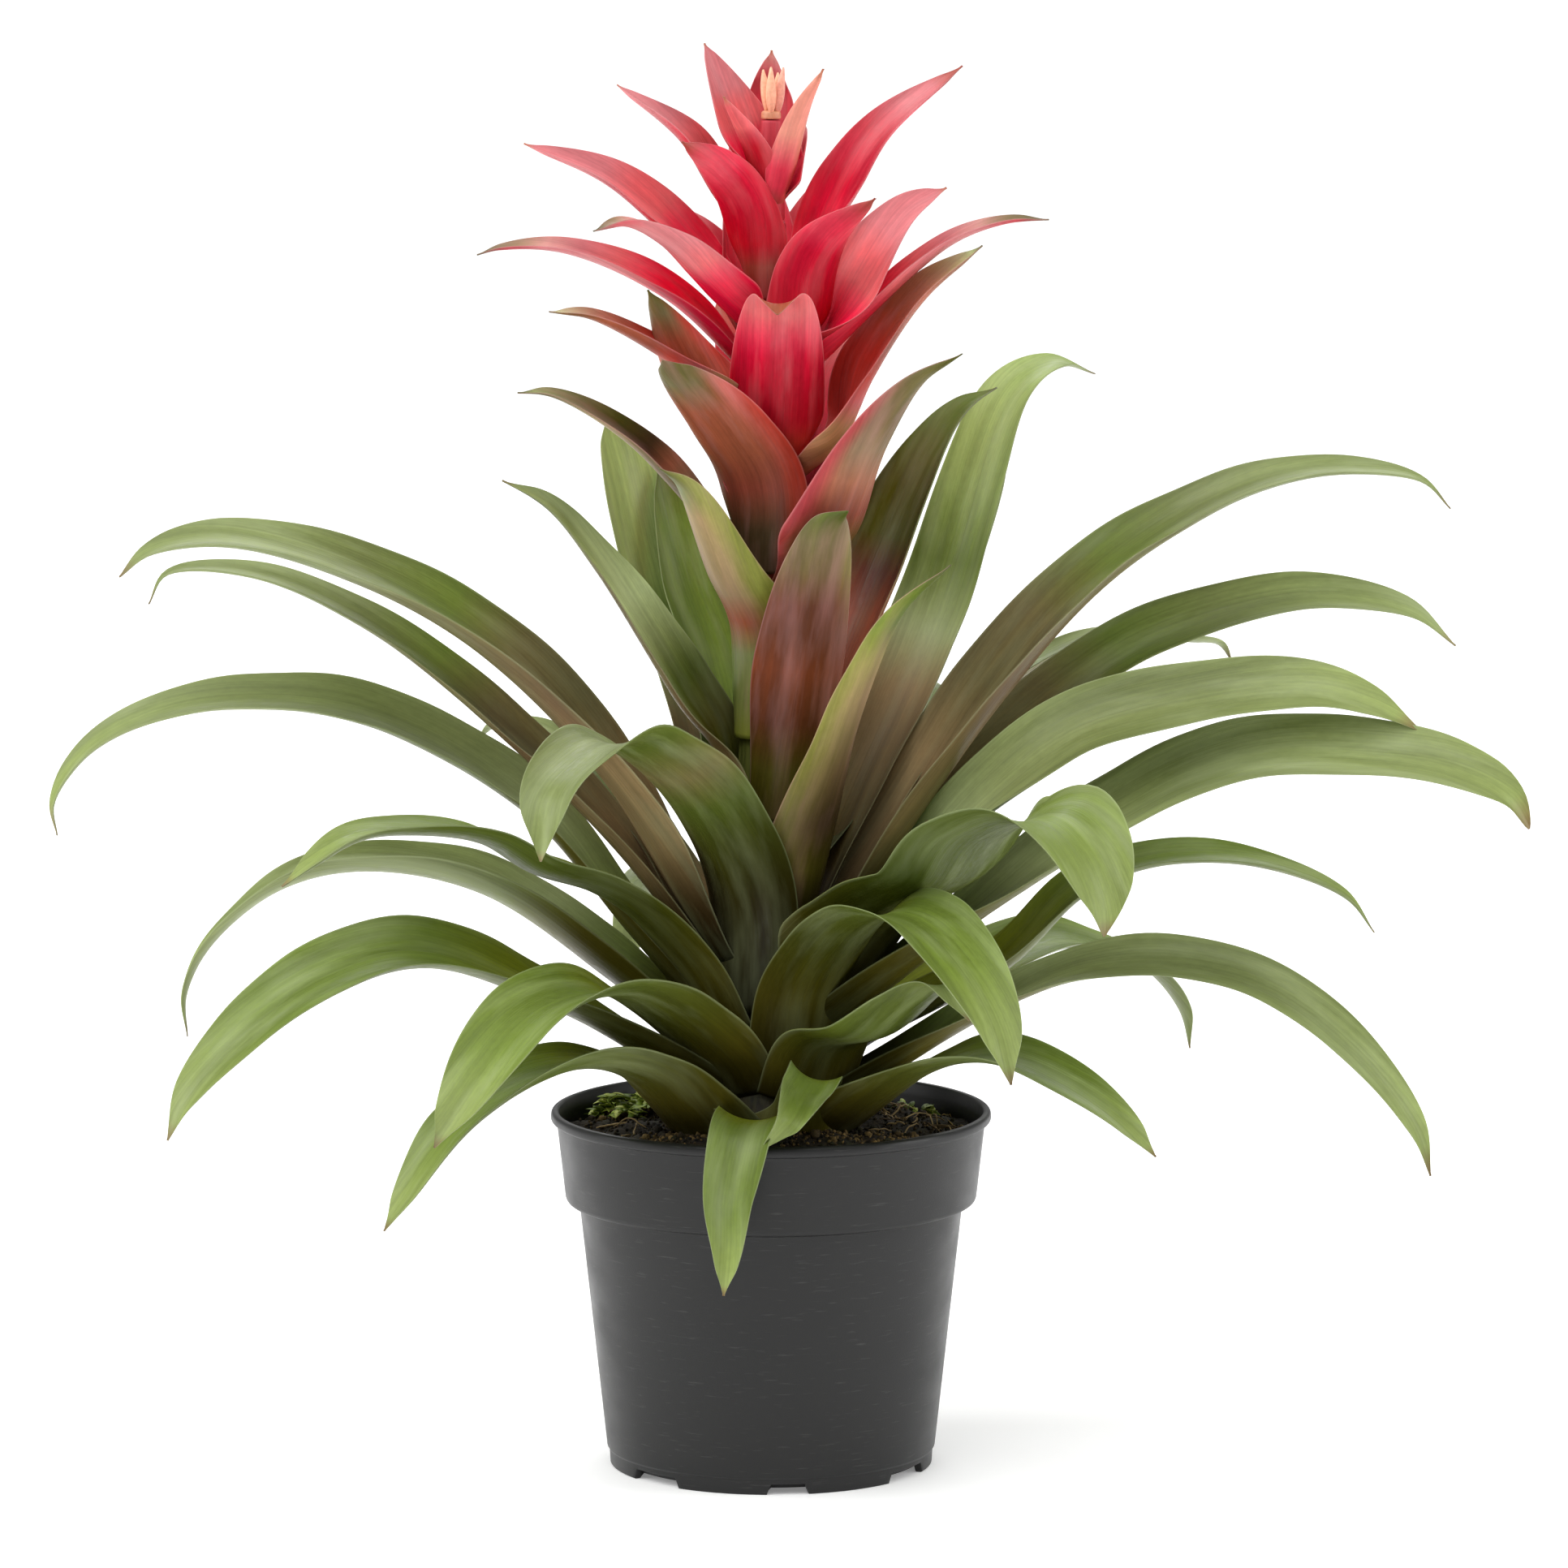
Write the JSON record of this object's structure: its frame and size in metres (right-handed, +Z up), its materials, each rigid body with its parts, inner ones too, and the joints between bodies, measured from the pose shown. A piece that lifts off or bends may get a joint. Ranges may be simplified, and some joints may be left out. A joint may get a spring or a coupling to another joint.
{
  "type": "potted bromeliad",
  "caption": "Flowering bromeliad in a round nursery pot: arching strap leaves in a rosette round an upright spike of pointed red bracts.",
  "frame": {"origin": "on the floor, under the pot's axis", "axes": "+Z up along the pot's axis, -Y towards the picture's camera, +X to its right"},
  "size_m": [0.4989, 0.3079, 0.4833],
  "materials": {
    "pot": "satin",
    "soil": "matte",
    "stem": "satin",
    "leaf": "satin",
    "leaf_dark": "satin",
    "bract_green_red": "satin",
    "bract_brown_red": "satin",
    "bract_red": "satin",
    "florets": "satin"
  },
  "bodies": {
    "root": {"bract_low_1": "bract_green_red", "bract_low_2": "bract_green_red", "bract_low_3": "bract_green_red", "bract_mid_1": "bract_brown_red", "bract_mid_2": "bract_brown_red", "bract_mid_3": "bract_brown_red", "bract_mid_4": "bract_brown_red", "bract_mid_5": "bract_brown_red", "bract_mid_6": "bract_brown_red", "bract_mid_7": "bract_brown_red", "bract_top_1": "bract_red", "bract_top_2": "bract_red", "bract_top_3": "bract_red", "bract_top_4": "bract_red", "bract_top_5": "bract_red", "bract_top_6": "bract_red", "bract_top_7": "bract_red", "bract_top_8": "bract_red", "bract_tuft": "bract_red", "bracts_back_mid": "bract_brown_red", "bracts_back_top": "bract_red", "florets": "florets", "leaf_back_1": "leaf", "leaf_back_2": "leaf", "leaf_back_3": "leaf", "leaf_back_4": "leaf", "leaf_back_5": "leaf", "leaf_back_6": "leaf", "leaf_front_1": "leaf", "leaf_front_2": "leaf", "leaf_front_3": "leaf", "leaf_front_4": "leaf", "leaf_front_5": "leaf", "leaf_left_1": "leaf", "leaf_left_2": "leaf", "leaf_left_3": "leaf", "leaf_left_4": "leaf", "leaf_left_5": "leaf", "leaf_left_6": "leaf", "leaf_left_7": "leaf", "leaf_left_8": "leaf", "leaf_right_1": "leaf", "leaf_right_10": "leaf", "leaf_right_2": "leaf", "leaf_right_3": "leaf", "leaf_right_4": "leaf", "leaf_right_5": "leaf", "leaf_right_6": "leaf", "leaf_right_7": "leaf", "leaf_right_8": "leaf", "leaf_right_9": "leaf", "leaf_upright_1": "leaf", "leaf_upright_2": "leaf", "leaf_upright_3": "leaf", "leaf_upright_4": "leaf", "leaf_upright_5": "leaf_dark", "leaf_upright_6": "leaf", "pot": "pot", "soil": "soil", "stem": "stem"}
  },
  "joints": []
}
